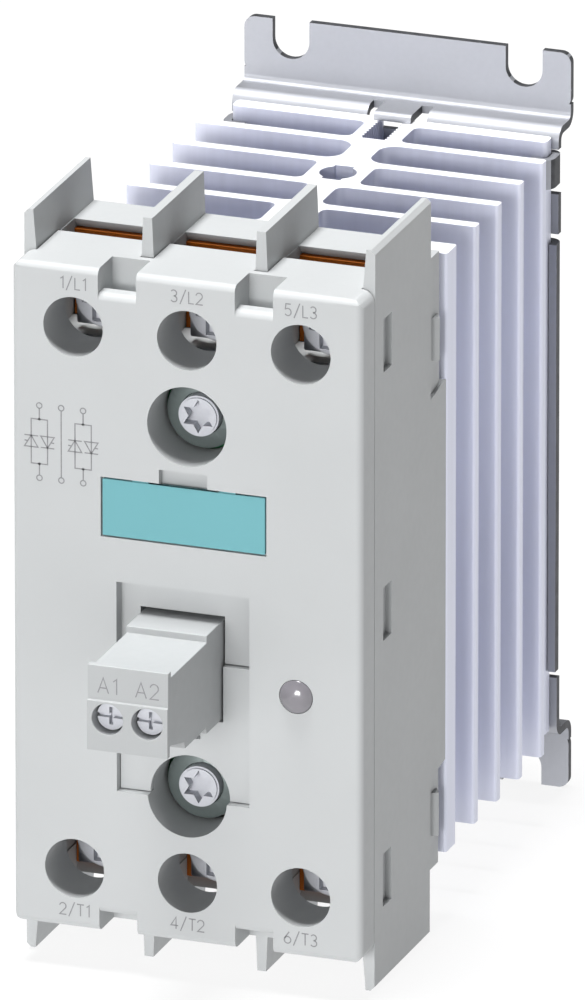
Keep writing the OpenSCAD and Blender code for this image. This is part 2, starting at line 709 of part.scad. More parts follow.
module mounting_bracket() color([0.8, 0.81, 0.83]) seated() {
    half = bracket_w / 2;
    difference() {
        union() {
            // Main plate behind the rear fin, wider between the bent edges
            block([-half + 2.2, half - 2.2], [plate_depth, seat_depth], [-37.5, 37.5]);
            block([-half, half], [plate_depth, seat_depth], [26.2, 31.4]);
            block([-half, half], [plate_depth, seat_depth], [-37.5, -31.9]);
            // Upper flange and its bend
            along_x(-half, half) s_bend(37.2, 41.6);
            slab(flange_depth, flange_depth + sheet_t)
                soft_rect([-half, half], [41, flange_top], 1.4);
            for (side = [-1, 1]) {
                // Lower feet and their bends, apart so that the latch passes between them
                scale([1, 1, -1]) along_x(side > 0 ? 9 : -half, side > 0 ? half : -9) s_bend(37.2, 41.6);
                slab(flange_depth, flange_depth + sheet_t)
                    soft_rect(side > 0 ? [9, half] : [-half, -9], [flange_foot, -41], 1.3);
                // Long side flanges and upper claws round the ends of the rear fin
                scale([side, 1, 1]) along_z(-30.6, 25.3) side_wrap(73, false);
                scale([side, 1, 1]) along_z(33, 36.8) side_wrap(71.1, true);
                // Hooks behind the upper edge of the rail
                along_x(side * 12 - 4, side * 12 + 4)
                    polygon([[plate_depth, 18], [plate_depth, 19.2], [78.6, 19.2], [79.4, 18.4],
                             [79.4, 15.6], [78.6, 15.6], [78.4, 18]]);
                // Guides of the latch
                block(side > 0 ? [5.2, 6.2] : [-6.2, -5.2], [plate_depth, 77.8], [-37, -31]);
                block(side > 0 ? [4.2, 6.2] : [-6.2, -4.2], [76.8, 77.8], [-37, -31]);
            }
            // Stop under the latch spring
            block([-1.7, 1.7], [plate_depth, 79], [-37, -36]);
        }
        for (side = [-1, 1]) {
            open_slot(side * slot_pitch / 2, flange_top - 2.6, slot_w, 1);
            open_slot(side * slot_pitch / 2, flange_foot + 2.2, slot_w + 0.3, -1);
        }
        // The front bend is cut away beside and below the tongue
        block([tongue_x[0] - 1.5, tongue_x[1] + 1.5], [70, 77.2], [37.3, 42]);
        block([-9, 9], [70, 90], [-60, -37.5]);
        rod(bracket_screw_x, bracket_screw_z, 70, 90, 1.9);
    }
    // Tongue that hooks over the top of the heat sink, with a rounded front edge
    along_x(tongue_x[0], tongue_x[1]) {
        translate([tongue_front + 0.8, shelf_top - sheet_t]) square([4.6, sheet_t]);
        translate([tongue_front, shelf_top - sheet_t]) square([1, sheet_t - 0.8]);
        quarter_ring(tongue_front + 0.8, shelf_top - 0.8, 0, 0.8, -1, 1);
    }
}

module bracket_screw() color([0.7, 0.71, 0.73]) seated()
    translate([bracket_screw_x, seat_depth, bracket_screw_z]) difference() {
        union() {
            rod(0, 0, 0, 1.9, 3);
            rod(0, 0, -7.5, 0.1, 1.4);
        }
        block([-0.45, 0.45], [1, 10], [-1.7, 1.7]);
        block([-1.7, 1.7], [1, 10], [-0.45, 0.45]);
    }

module rail_latch() color([0.62, 0.64, 0.67]) seated() difference() {
    union() {
        block([-5, 5], [75.65, 76.65], [-46.5, -18.6]);
        along_x(-5, 5) polygon([[75.65, -19.6], [75.65, -18.6], [78.3, -18.6], [78.3, -16.2], [78.7, -16.2],
                                [79.3, -17.6], [79.3, -19.6]]);
        block([-5, 5], [75.65, 78.2], [-46.5, -45.5]);
    }
    block([-2, 2], [70, 90], [-38, -24]);
    block([-2.4, 2.4], [70, 90], [-44.3, -41.5]);
}

// Coil of the spring: a six-sided wire swept along a helix
function coil_point(i, j) =
    let (turn = 360 * spring_turns * i / spring_ring_count,
         around = 60 * j,
         r = spring_r + spring_wire_r * cos(around))
    [r * cos(turn), r * sin(turn), spring_h * i / spring_ring_count + spring_wire_r * sin(around)];

module latch_spring() color([0.7, 0.72, 0.75]) seated()
    translate([0, 77.3, -35.65]) polyhedron(
        points = [for (i = [0:spring_ring_count], j = [0:5]) coil_point(i, j)],
        faces = concat(
            [[for (j = [0:5]) j]],
            [for (i = [0:spring_ring_count - 1], j = [0:5], half = [0, 1])
                let (a = i * 6 + j, b = i * 6 + (j + 1) % 6)
                half == 0 ? [a, a + 6, b] : [b, a + 6, b + 6]],
            [[for (j = [5:-1:0]) spring_ring_count * 6 + j]]));

// ---------------------------------------------------------------- control plug

module plug_outline() {
    front = -plug_out;
    polygon([[front, -5.66], [front + 0.3, -5.66], [front + 0.3, plug_top], [front + 1.3, plug_top],
             [front + 1.3, plug_top - 0.76], [-3.96, plug_top - 0.76], [-3.96, plug_top + 0.15],
             [plug_rear, plug_top + 0.15], [plug_rear, -13.7], [-4.1, -13.7], [-4.1, -12.9],
             [-11.65, -12.9], [-11.8, -12.05], [front + 1.4, -10.8], [front + 0.9, -10.8],
             [front + 0.9, -12.1], [front, -12.1]]);
}

module plug_body() color([0.87, 0.88, 0.89]) seated() difference() {
    along_x(plug_x - plug_w / 2, plug_x + plug_w / 2) plug_outline();
    for (pole = [-1, 1]) {
        x = plug_x + pole * plug_pitch / 2;
        rod(x, plug_screw_z, -20, -13, 2);
        // Cage chamber, wire entry from below and the duct of the contact
        block([x - 2.3, x + 2.3], [-14.5, -5.9], [-10.9, -3.6]);
        block([x - 1.7, x + 1.7], [-9.7, -6.4], [-20, -10.8]);
        block([x - 1.25, x + 1.25], [-6, 20], [-6.6, -3.6]);
    }
}

module plug_screw(pole) color([0.85, 0.86, 0.9]) seated()
    translate([plug_x + pole * plug_pitch / 2, 0, plug_screw_z]) difference() {
        union() {
            rod(0, 0, plug_head_front, plug_head_front + 1.5, plug_head_r);
            rod(0, 0, plug_head_front + 1.4, -10.7, plug_shaft_r);
        }
        block([-2, 2], [-20, plug_head_front + 0.7], [-0.24, 0.24]);
        block([-0.24, 0.24], [-20, plug_head_front + 0.9], [-1.1, 1.1]);
    }

module plug_screw_a1() plug_screw(-1);
module plug_screw_a2() plug_screw(1);

// Rising cage: a square ring whose front wall runs on the screw
module plug_cage(pole) color([0.8, 0.78, 0.7]) seated()
    translate([plug_x + pole * plug_pitch / 2, 0, plug_screw_z]) difference() {
        block([-2.05, 2.05], [-12.2, -6.3], [-2.6, 2.4]);
        block([-1.6, 1.6], [-10.9, -6.9], [-5, 5]);
        rod(0, 0, -20, -10, plug_shaft_r + 0.06);
    }

module plug_cage_a1() plug_cage(-1);
module plug_cage_a2() plug_cage(1);

// Contact strips that run through the cages to the spring sleeves at the rear
module plug_contacts() color([0.83, 0.74, 0.5]) seated()
    for (pole = [-1, 1])
        translate([plug_x + pole * plug_pitch / 2, 0, 0]) difference() {
            union() {
                block([-1.1, 1.1], [-10.4, -9.9], [-10.6, -3.8]);
                block([-1.1, 1.1], [-10.4, -0.8], [-4.3, -3.8]);
                block([-1.15, 1.15], [-0.9, 6.8], [-6.5, -3.8]);
            }
            rod(0, -5.3, 1, 20, 0.62);
        }

front_cover();
base_housing();
plug_insert();
label_plate();
led_lens();
status_led();
control_board();
trigger_modules();
board_resistors();
board_capacitor();
control_header();
header_pins();
terminal_carrier_upper();
terminal_carrier_lower();
module_base_plate();
ceramic_substrate();
thyristor_chips();
rail_l1();
rail_l3();
rail_t1();
rail_t3();
link_l2_t2();
clamp_l1();
clamp_l2();
clamp_l3();
clamp_t1();
clamp_t2();
clamp_t3();
screw_l1();
screw_l2();
screw_l3();
screw_t1();
screw_t2();
screw_t3();
mounting_screws();
spring_washers();
thermal_pad();
heat_sink();
mounting_bracket();
bracket_screw();
rail_latch();
latch_spring();
plug_body();
plug_screw_a1();
plug_screw_a2();
plug_cage_a1();
plug_cage_a2();
plug_contacts();
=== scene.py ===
"""Looks of a three-phase solid state relay on its heat sink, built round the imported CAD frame.

Lengths are in metres, in the frame of the CAD part: +X right, +Y to the rear, +Z up.
MM turns a size in millimetres into metres.
"""

import json
import math

import bmesh
import bpy
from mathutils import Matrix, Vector


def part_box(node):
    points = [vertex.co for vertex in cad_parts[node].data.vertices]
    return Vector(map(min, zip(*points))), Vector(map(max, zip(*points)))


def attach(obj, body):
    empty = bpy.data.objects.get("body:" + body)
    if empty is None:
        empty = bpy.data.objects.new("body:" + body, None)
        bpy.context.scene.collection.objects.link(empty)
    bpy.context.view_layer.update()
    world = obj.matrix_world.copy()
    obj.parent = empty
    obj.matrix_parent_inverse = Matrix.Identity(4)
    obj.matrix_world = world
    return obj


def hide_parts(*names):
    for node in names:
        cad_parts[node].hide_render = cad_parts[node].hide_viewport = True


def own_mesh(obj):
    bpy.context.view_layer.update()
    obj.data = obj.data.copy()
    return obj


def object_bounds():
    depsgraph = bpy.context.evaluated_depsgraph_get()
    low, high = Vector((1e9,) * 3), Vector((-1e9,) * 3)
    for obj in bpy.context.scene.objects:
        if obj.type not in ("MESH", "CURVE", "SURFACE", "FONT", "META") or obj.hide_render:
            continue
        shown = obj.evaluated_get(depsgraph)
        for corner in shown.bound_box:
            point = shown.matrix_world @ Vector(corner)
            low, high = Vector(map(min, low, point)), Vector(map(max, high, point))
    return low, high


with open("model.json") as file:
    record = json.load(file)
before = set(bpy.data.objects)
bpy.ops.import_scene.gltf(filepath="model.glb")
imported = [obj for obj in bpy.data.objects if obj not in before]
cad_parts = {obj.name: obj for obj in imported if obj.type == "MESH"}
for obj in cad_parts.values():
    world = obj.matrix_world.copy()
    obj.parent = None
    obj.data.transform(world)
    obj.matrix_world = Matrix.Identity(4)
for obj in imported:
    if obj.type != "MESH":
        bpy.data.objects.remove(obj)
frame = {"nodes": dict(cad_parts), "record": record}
cad_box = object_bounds()

MM = 0.001
NODES = frame["nodes"]

# ---------------------------------------------------------------- camera

VIEW_AZIMUTH = math.radians(19.87)
VIEW_ELEVATION = math.radians(20.15)
# The view is nearly parallel, so the lens is very long and the camera far away
SENSOR = 36.0
LENS_OVER_SENSOR = 27.5
VIEW_HEIGHT = 121.73 * MM
CLIP_START = 0.05
CLIP_END = 60
# Where the front of the cover lies along Y
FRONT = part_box("front_cover")[0].y
AIM = Vector((2.71 * MM, FRONT + 30 * MM, 4.54 * MM))


def add_camera():
    data = bpy.data.cameras.new("camera")
    data.sensor_width = SENSOR
    data.lens = SENSOR * LENS_OVER_SENSOR
    data.clip_start = CLIP_START
    data.clip_end = CLIP_END
    camera = bpy.data.objects.new("camera", data)
    back = Vector(
        (
            math.sin(VIEW_AZIMUTH) * math.cos(VIEW_ELEVATION),
            -math.cos(VIEW_AZIMUTH) * math.cos(VIEW_ELEVATION),
            math.sin(VIEW_ELEVATION),
        )
    )
    camera.location = AIM + back * VIEW_HEIGHT * LENS_OVER_SENSOR
    camera.rotation_mode = "QUATERNION"
    camera.rotation_quaternion = (-back).to_track_quat("-Z", "Y")
    bpy.context.scene.collection.objects.link(camera)
    bpy.context.scene.camera = camera


# ---------------------------------------------------------------- materials

# Noise rarely leaves this range, so most ramps run between its ends
NOISE_LOW = 0.3
NOISE_HIGH = 0.7
# Cosine from which a surface counts as facing an axis
FACING_LIMIT = 0.8


class Shader:
    """A material's node tree with short ways to add nodes and links."""

    def __init__(self, name):
        self.material = bpy.data.materials.new(name)
        self.material.use_nodes = True
        self.tree = self.material.node_tree
        self.bsdf = self.tree.nodes["Principled BSDF"]
        self.place = self.add("ShaderNodeTexCoord").outputs["Object"]

    def add(self, kind, **settings):
        node = self.tree.nodes.new(kind)
        for key, value in settings.items():
            setattr(node, key, value)
        return node

    def link(self, source, target):
        self.tree.links.new(source, target)

    def set(self, **values):
        for key, value in values.items():
            self.bsdf.inputs[key.replace("_", " ")].default_value = value

    def stretched(self, factors):
        """Object coordinates scaled by a factor along each axis."""
        mapping = self.add("ShaderNodeMapping")
        mapping.inputs["Scale"].default_value = factors
        self.link(self.place, mapping.inputs["Vector"])
        return mapping.outputs["Vector"]

    def noise(self, scale, detail=3.0, roughness=0.5, place=None):
        """Noise with about scale waves to the metre, unless place is stretched."""
        node = self.add("ShaderNodeTexNoise")
        node.inputs["Scale"].default_value = scale
        node.inputs["Detail"].default_value = detail
        node.inputs["Roughness"].default_value = roughness
        self.link(place or self.place, node.inputs["Vector"])
        return node.outputs["Fac"]

    def ramp(self, source, low, high, start=NOISE_LOW, end=NOISE_HIGH):
        """A colour that goes from low to high as source goes from start to end."""
        node = self.add("ShaderNodeValToRGB")
        node.color_ramp.elements[0].position = start
        node.color_ramp.elements[1].position = end
        node.color_ramp.elements[0].color = (*low, 1)
        node.color_ramp.elements[1].color = (*high, 1)
        self.link(source, node.inputs["Fac"])
        return node.outputs["Color"]

    def spread(self, source, low, high):
        """A number that goes from low to high as the noise in source does."""
        node = self.add("ShaderNodeMapRange")
        node.inputs["From Min"].default_value = NOISE_LOW
        node.inputs["From Max"].default_value = NOISE_HIGH
        node.inputs["To Min"].default_value = low
        node.inputs["To Max"].default_value = high
        self.link(source, node.inputs["Value"])
        return node.outputs["Result"]

    def maths(self, operation, first, second=None):
        node = self.add("ShaderNodeMath", operation=operation)
        for source, socket in ((first, node.inputs[0]), (second, node.inputs[1])):
            if isinstance(source, (int, float)):
                socket.default_value = source
            elif source is not None:
                self.link(source, socket)
        return node.outputs["Value"]

    def facing(self, axis):
        """1 where the surface faces along the axis, 0 elsewhere."""
        parts = self.add("ShaderNodeSeparateXYZ")
        self.link(self.add("ShaderNodeTexCoord").outputs["Normal"], parts.inputs["Vector"])
        return self.maths("GREATER_THAN", self.maths("ABSOLUTE", parts.outputs[axis]), FACING_LIMIT)

    def mixed(self, factor, first, second):
        """first where factor is 0, second where it is 1."""
        node = self.add("ShaderNodeMix", data_type="RGBA")
        for source, socket in ((factor, "Factor"), (first, "A"), (second, "B")):
            self.link(source, node.inputs[socket])
        return node.outputs["Result"]

    def colour(self, source):
        self.link(source, self.bsdf.inputs["Base Color"])

    def rough(self, source):
        self.link(source, self.bsdf.inputs["Roughness"])

    def bump(self, source, depth, strength, after=None):
        node = self.add("ShaderNodeBump")
        node.inputs["Distance"].default_value = depth
        node.inputs["Strength"].default_value = strength
        self.link(source, node.inputs["Height"])
        if after:
            self.link(after, node.inputs["Normal"])
        return node.outputs["Normal"]

    def done(self, normal):
        """Puts the last bump on the surface and gives the finished material."""
        self.link(normal, self.bsdf.inputs["Normal"])
        return self.material


def shades(colour, low, high):
    """A colour at two brightnesses, for the two ends of a ramp."""
    return [tuple(min(1.0, c * factor) for c in colour) for factor in (low, high)]


PLASTIC_GRAIN_SIZE = 0.22 * MM


def plastic(name, colour, roughness=0.45, grain=0.012 * MM):
    """Moulded plastic: a fine eroded grain, faint flow marks and a slight variation in gloss."""
    s = Shader(name)
    s.set(IOR=1.5, Specular_IOR_Level=0.25)
    s.colour(s.ramp(s.noise(60, 2), *shades(colour, 0.98, 1.02)))
    s.rough(s.spread(s.noise(900, 3), roughness - 0.04, roughness + 0.05))
    fine = s.noise(1 / PLASTIC_GRAIN_SIZE, 4, 0.6)
    waves = s.bump(s.noise(130, 1), 0.02 * MM, 0.5)
    return s.done(s.bump(fine, grain, 0.8, waves))


def extruded_aluminium(name, colour, cut_colour):
    """Anodised extrusion with fine draw lines along Z and satin gloss, and bright sawn ends."""
    s = Shader(name)
    s.set(Metallic=0.3)
    lines = s.noise(1, 3, 0.65, s.stretched((6500, 6500, 14)))
    broad = s.noise(1, 2, 0.5, s.stretched((900, 900, 4)))
    drawn = s.ramp(broad, *shades(colour, 0.97, 1.02))
    sawn = s.ramp(s.noise(900, 2), *shades(cut_colour, 0.97, 1.0))
    s.colour(s.mixed(s.facing("Z"), drawn, sawn))
    s.rough(s.spread(lines, 0.42, 0.52))
    return s.done(s.bump(lines, 0.004 * MM, 0.7))


def sheet_steel(name, colour, roughness, painted_shade_z):
    """Plated sheet: rolling lines across its length, soft waviness and a cloudy tone.

    Faces that lie flat get painted shade: a darker copy of the colour. Its narrow sides get a much
    darker painted shade: those that face along X, and beyond the height given last those that face
    along Z.
    """
    s = Shader(name)
    s.set(Metallic=0.85)
    lines = s.noise(1, 3, 0.6, s.stretched((40, 40, 2600)))
    clouds = s.noise(60, 1)
    upright = s.ramp(clouds, *shades(colour, 0.97, 1.02), 0.1, 0.9)
    # painted shade: faces that lie flat get a darker copy of the colour
    painted_shade_flat = s.ramp(clouds, *shades(colour, 0.66, 0.72), 0.1, 0.9)
    s.rough(s.spread(s.noise(1500, 2), roughness - 0.02, roughness + 0.02))
    # painted shade on the narrow sides: those that face along X, and those that face along Z beyond
    # the given height
    height = s.add("ShaderNodeSeparateXYZ")
    s.link(s.place, height.inputs["Vector"])
    painted_shade_far = s.maths("GREATER_THAN", s.maths("ABSOLUTE", height.outputs["Z"]), painted_shade_z)
    painted_shade_side_mask = s.maths("MAXIMUM", s.facing("X"), s.maths("MULTIPLY", painted_shade_far, s.facing("Z")))
    # a much darker copy of the colour: the painted shade of the narrow sides
    painted_shade_sides = s.ramp(s.noise(900, 3), *shades(colour, 0.16, 0.24))
    s.colour(s.mixed(painted_shade_side_mask, s.mixed(s.facing("Z"), upright, painted_shade_flat), painted_shade_sides))
    return s.done(s.bump(lines, 0.001 * MM, 0.3, s.bump(clouds, 0.02 * MM, 0.2)))


def turned_metal(name, colour, roughness, metallic=1.0):
    """Small turned or stamped metal parts with faint tool marks."""
    s = Shader(name)
    s.set(Metallic=metallic)
    marks = s.noise(2600, 3)
    s.colour(s.ramp(marks, *shades(colour, 0.98, 1.02)))
    s.rough(s.spread(s.noise(1500, 2), roughness - 0.02, roughness + 0.02))
    return s.done(s.bump(marks, 0.0006 * MM, 0.4))


def circuit_board(name):
    """Solder mask over copper tracks."""
    s = Shader(name)
    s.set(IOR=1.5, Coat_Weight=0.4, Coat_Roughness=0.15)
    tracks = s.add("ShaderNodeTexVoronoi", feature="DISTANCE_TO_EDGE")
    tracks.inputs["Scale"].default_value = 260
    s.link(s.place, tracks.inputs["Vector"])
    away = tracks.outputs["Distance"]
    s.colour(s.ramp(away, (0.02, 0.16, 0.06), (0.035, 0.24, 0.09), 0.05, 0.12))
    s.rough(s.spread(s.noise(800), 0.3, 0.4))
    return s.done(s.bump(away, 0.02 * MM, 0.5))


def smoky_lens(name):
    """Smoky grey dome over the lamp, glossy on the outside."""
    s = Shader(name)
    s.set(IOR=1.49, Coat_Weight=0.6, Coat_Roughness=0.05)
    s.colour(s.ramp(s.noise(300, 2), (0.17, 0.165, 0.18), (0.21, 0.20, 0.22)))
    s.rough(s.spread(s.noise(700, 2), 0.16, 0.22))
    return s.done(s.bump(s.noise(400, 1), 0.005 * MM, 0.3))


def ink(name):
    """Printed grey marking."""
    s = Shader(name)
    s.colour(s.ramp(s.noise(2000, 3), (0.20, 0.20, 0.21), (0.25, 0.25, 0.26)))
    s.rough(s.spread(s.noise(3000, 2), 0.55, 0.65))
    return s.done(s.bump(s.noise(4000, 2), 0.002 * MM, 0.5))


# How each material is made, its colour or colours, and its other settings
MATERIAL_RECIPES = {
    "housing_plastic": (plastic, [(0.454, 0.467, 0.472)], {}),
    "plug_plastic": (plastic, [(0.39, 0.402, 0.407)], {"roughness": 0.4, "grain": 0.006 * MM}),
    "label_plastic": (plastic, [(0.140, 0.362, 0.396)], {"roughness": 0.42, "grain": 0.004 * MM}),
    "carrier_plastic": (plastic, [(0.40, 0.10, 0.006)], {"roughness": 0.5}),
    "header_plastic": (plastic, [(0.10, 0.11, 0.11)], {"roughness": 0.5}),
    "moulded_epoxy": (plastic, [(0.025, 0.025, 0.027)], {"roughness": 0.5}),
    "capacitor_sleeve": (plastic, [(0.04, 0.05, 0.09)], {"roughness": 0.3, "grain": 0.003 * MM}),
    "resistor_ceramic": (plastic, [(0.55, 0.42, 0.28)], {"roughness": 0.4}),
    "ceramic": (plastic, [(0.8, 0.8, 0.77)], {"roughness": 0.35}),
    "thermal_film": (plastic, [(0.25, 0.26, 0.28)], {"roughness": 0.6}),
    "led_epoxy": (plastic, [(0.7, 0.08, 0.05)], {"roughness": 0.15, "grain": 0.001 * MM}),
    "lens_plastic": (smoky_lens, [], {}),
    "board_laminate": (circuit_board, [], {}),
    "sink_aluminium": (extruded_aluminium, [(0.76, 0.78, 0.90), (0.93, 0.93, 0.95)], {}),
    "plate_aluminium": (extruded_aluminium, [(0.6, 0.6, 0.62), (0.7, 0.7, 0.72)], {}),
    # zinc sheet: beyond 42.5 mm from the middle, its faces along Z get painted shade
    "zinc_steel": (sheet_steel, [(0.46, 0.47, 0.505)], {"roughness": 0.6, "painted_shade_z": 42.5 * MM}),
    "tinned_copper": (turned_metal, [(0.75, 0.68, 0.58)], {"roughness": 0.3}),
    "gold_plated_brass": (turned_metal, [(0.83, 0.65, 0.36)], {"roughness": 0.25}),
    "screw_steel": (turned_metal, [(0.52, 0.53, 0.565)], {"roughness": 0.6, "metallic": 0.45}),
    "dark_steel": (turned_metal, [(0.16, 0.19, 0.186)], {"roughness": 0.4, "metallic": 0.4}),
    "spring_steel": (turned_metal, [(0.66, 0.67, 0.70)], {"roughness": 0.2}),
    "silicon": (turned_metal, [(0.3, 0.31, 0.36)], {"roughness": 0.2}),
    "ink": (ink, [], {}),
}
MATERIALS = {
    name: make(name, *colours, **settings)
    for name, (make, colours, settings) in MATERIAL_RECIPES.items()
}

# ---------------------------------------------------------------- CAD nodes

# Width of the rounded edges of a node, in millimetres; nodes not named here have the small one
EDGE_ROUNDING = {
    "front_cover": 0.12,
    "base_housing": 0.12,
    "plug_insert": 0.08,
    "plug_body": 0.14,
    "label_plate": 0.08,
    "heat_sink": 0.05,
    "mounting_bracket": 0.12,
    "rail_latch": 0.12,
    "terminal_carrier_upper": 0.15,
    "terminal_carrier_lower": 0.15,
    # The points of its star recess are too sharp to round
    "mounting_screws": 0,
    "plug_screw_a1": 0.03,
    "plug_screw_a2": 0.03,
}
SMALL_PART_ROUNDING = 0.1
ROUNDING_SEGMENTS = 2
SHARP_ANGLE = math.radians(32)
FLAT_ANGLE = math.radians(0.5)
WELD_DISTANCE = 0.002 * MM
LARGE_FACE_WEIGHT = 80


def soften(node, width):
    """Rounds a CAD node's sharp edges with modifiers; its own mesh stays as it is."""
    if width == 0:
        return
    for polygon in node.data.polygons:
        polygon.use_smooth = True
    weld = node.modifiers.new("weld", "WELD")
    weld.merge_threshold = WELD_DISTANCE
    flat = node.modifiers.new("flat", "DECIMATE")
    flat.decimate_type = "DISSOLVE"
    flat.angle_limit = FLAT_ANGLE
    bevel = node.modifiers.new("bevel", "BEVEL")
    bevel.width = width
    bevel.segments = ROUNDING_SEGMENTS
    bevel.limit_method = "ANGLE"
    bevel.angle_limit = SHARP_ANGLE
    bevel.use_clamp_overlap = True
    normals = node.modifiers.new("normals", "WEIGHTED_NORMAL")
    normals.keep_sharp = True
    normals.weight = LARGE_FACE_WEIGHT


def dress_nodes():
    for row in frame["record"]["subparts"]:
        node = NODES[row["node"]]
        node.data.materials.clear()
        node.data.materials.append(MATERIALS[row["material_slot"]])
        soften(node, EDGE_ROUNDING.get(row["node"], SMALL_PART_ROUNDING) * MM)


# ---------------------------------------------------------------- printed markings

STROKE = 0.15 * MM
# Half the thickness of the ink
PRINT_HEIGHT = 0.02 * MM
# Least cosine used at a corner, so that a sharp corner doesn't grow a long point
MITRE_LIMIT = 0.45

# Terminal numbers: both rows with the height each stands at
NUMBER_ROWS = (
    (("1/L1", "3/L2", "5/L3"), 39.78 * MM),
    (("2/T1", "4/T2", "6/T3"), -41.05 * MM),
)
NUMBER_HEIGHT = 1.5 * MM
NUMBER_SPACE = 0.16 * MM
NUMBER_SHIFT = 0.05 * MM

# Names over the screws of the plug, on the face that lies a little behind its foremost one
PLUG_NAMES = (("plug_screw_a1", "A1"), ("plug_screw_a2", "A2"))
PLUG_NAME_BASE = -4.72 * MM
PLUG_NAME_HEIGHT = 1.95 * MM
PLUG_NAME_SPACE = 0.3 * MM
PLUG_FACE_SETBACK = 0.3 * MM


def arc(x, z, rx, rz, start, end, steps=14):
    """Points on an ellipse from one angle to another, in degrees."""
    turns = [math.radians(start + (end - start) * i / steps) for i in range(steps + 1)]
    return [(x + rx * math.cos(t), z + rz * math.sin(t)) for t in turns]


def circle(x, z, radius, count):
    """Evenly spaced points on a circle, each once."""
    return arc(x, z, radius, radius, 0, 360 - 360 / count, count - 1)


# Strokes of each sign in a cell that is one unit high, and the width of the cell
SIGNS = {
    "1": (0.42, [[(0.08, 0.82), (0.3, 1), (0.3, 0)]]),
    "2": (0.66, [arc(0.29, 0.71, 0.27, 0.28, 170, -38) + [(0.02, 0.0), (0.6, 0.0)]]),
    "3": (0.66, [arc(0.28, 0.75, 0.24, 0.25, 150, -90), arc(0.28, 0.25, 0.27, 0.25, 90, -150)]),
    "4": (0.70, [[(0.46, 0), (0.46, 1), (0.02, 0.28), (0.64, 0.28)]]),
    "5": (0.66, [[(0.52, 1), (0.12, 1), (0.07, 0.56)] + arc(0.28, 0.31, 0.28, 0.31, 130, -145)]),
    "6": (0.66, [[(0.44, 1), (0.06, 0.44)], arc(0.3, 0.29, 0.28, 0.29, 0, 360, 24)]),
    "L": (0.56, [[(0.06, 1), (0.06, 0), (0.5, 0)]]),
    "T": (0.66, [[(0.02, 1), (0.62, 1)], [(0.32, 1), (0.32, 0)]]),
    "A": (0.80, [[(0.02, 0), (0.37, 1), (0.72, 0)], [(0.15, 0.34), (0.59, 0.34)]]),
    "/": (0.62, [[(0.04, -0.14), (0.54, 1.14)]]),
}


def ribbon(mesh, points, y, width=STROKE, closed=False):
    """Adds a strip of ink along points in x and z, half of it in front of y and half behind."""
    count = len(points)
    sides = []
    for i, (x, z) in enumerate(points):
        before = points[i - 1] if i > 0 or closed else points[i]
        after = points[(i + 1) % count] if i < count - 1 or closed else points[i]
        along_in = Vector((x - before[0], z - before[1]))
        along_out = Vector((after[0] - x, after[1] - z))
        along_in = along_in.normalized() if along_in.length > 0 else along_out.normalized()
        along_out = along_out.normalized() if along_out.length > 0 else along_in
        middle = (along_in + along_out).normalized()
        reach = width / 2 / max(MITRE_LIMIT, middle.dot(along_in))
        across = Vector((-middle.y, middle.x)) * reach
        ring = []
        for side, depth in ((1, -1), (-1, -1), (-1, 1), (1, 1)):
            place = (x + side * across.x, y + depth * PRINT_HEIGHT, z + side * across.y)
            ring.append(mesh.verts.new(place))
        sides.append(ring)
    last = count if closed else count - 1
    for i in range(last):
        a, b = sides[i], sides[(i + 1) % count]
        for k in range(4):
            n = (k + 1) % 4
            mesh.faces.new((a[k], a[n], b[n], b[k]))
    if not closed:
        mesh.faces.new(sides[0][::-1])
        mesh.faces.new(sides[-1])


def draw_word(mesh, word, centre, base, height, y, space):
    """Draws one marking, centred at centre, standing on base."""
    width = sum(SIGNS[sign][0] * height for sign in word) + space * (len(word) - 1)
    x = centre - width / 2
    for sign in word:
        cell, strokes = SIGNS[sign]
        for stroke in strokes:
            ribbon(mesh, [(x + px * height, base + pz * height) for px, pz in stroke], y)
        x += cell * height + space


def finish_piece(name, mesh, body, material):
    """Turns a bmesh into an object that rides on a body."""
    bmesh.ops.recalc_face_normals(mesh, faces=mesh.faces)
    data = bpy.data.meshes.new(name)
    mesh.to_mesh(data)
    mesh.free()
    piece = bpy.data.objects.new(name, data)
    data.materials.append(MATERIALS[material])
    bpy.context.scene.collection.objects.link(piece)
    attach(piece, body)
    return piece


def thyristor(mesh, x, z, up, y):
    """Triangle, bar and gate of one thyristor; up is 1 or -1."""
    half, height = 0.87 * MM, 1.45 * MM
    base, tip = z - up * height / 2, z + up * height / 2
    ribbon(mesh, [(x - half, base), (x + half, base), (x, tip)], y, closed=True)
    ribbon(mesh, [(x - half, tip), (x + half, tip)], y)
    gate_inner, gate_drop, gate_rise = half * 0.55, 0.02 * MM, 0.05 * MM
    gate = z - up * gate_drop
    ribbon(mesh, [(x - up * gate_inner, gate), (x - up * half, gate + up * gate_rise)], y)


def circuit_symbol(mesh, y):
    """Two switched phases with antiparallel thyristors, and one straight phase between them."""
    top, bottom, ring = 24.35 * MM, 15.05 * MM, 0.35 * MM
    box_top, box_bottom, box_half = 22.58 * MM, 16.86 * MM, 1.05 * MM
    middle, pitch = -16.15 * MM, 2.82 * MM
    dot, dot_stroke = 0.09 * MM, 0.17 * MM
    left_thyristor, right_thyristor = 19.68 * MM, 19.72 * MM
    for column in (-1, 0, 1):
        x = middle + column * pitch
        for z in (top, bottom):
            ribbon(mesh, circle(x, z, ring, 24), y, closed=True)
        if column == 0:
            ribbon(mesh, [(x, top - ring), (x, bottom + ring)], y)
            continue
        ribbon(mesh, [(x, top - ring), (x, box_top)], y)
        ribbon(mesh, [(x, bottom + ring), (x, box_bottom)], y)
        box = [(x - box_half, box_bottom), (x + box_half, box_bottom)]
        box += [(x + box_half, box_top), (x - box_half, box_top)]
        ribbon(mesh, box, y, closed=True)
        for z in (box_top, box_bottom):
            ribbon(mesh, circle(x, z, dot, 8), y, dot_stroke, closed=True)
        thyristor(mesh, x - box_half, left_thyristor, 1, y)
        thyristor(mesh, x + box_half, right_thyristor, -1, y)


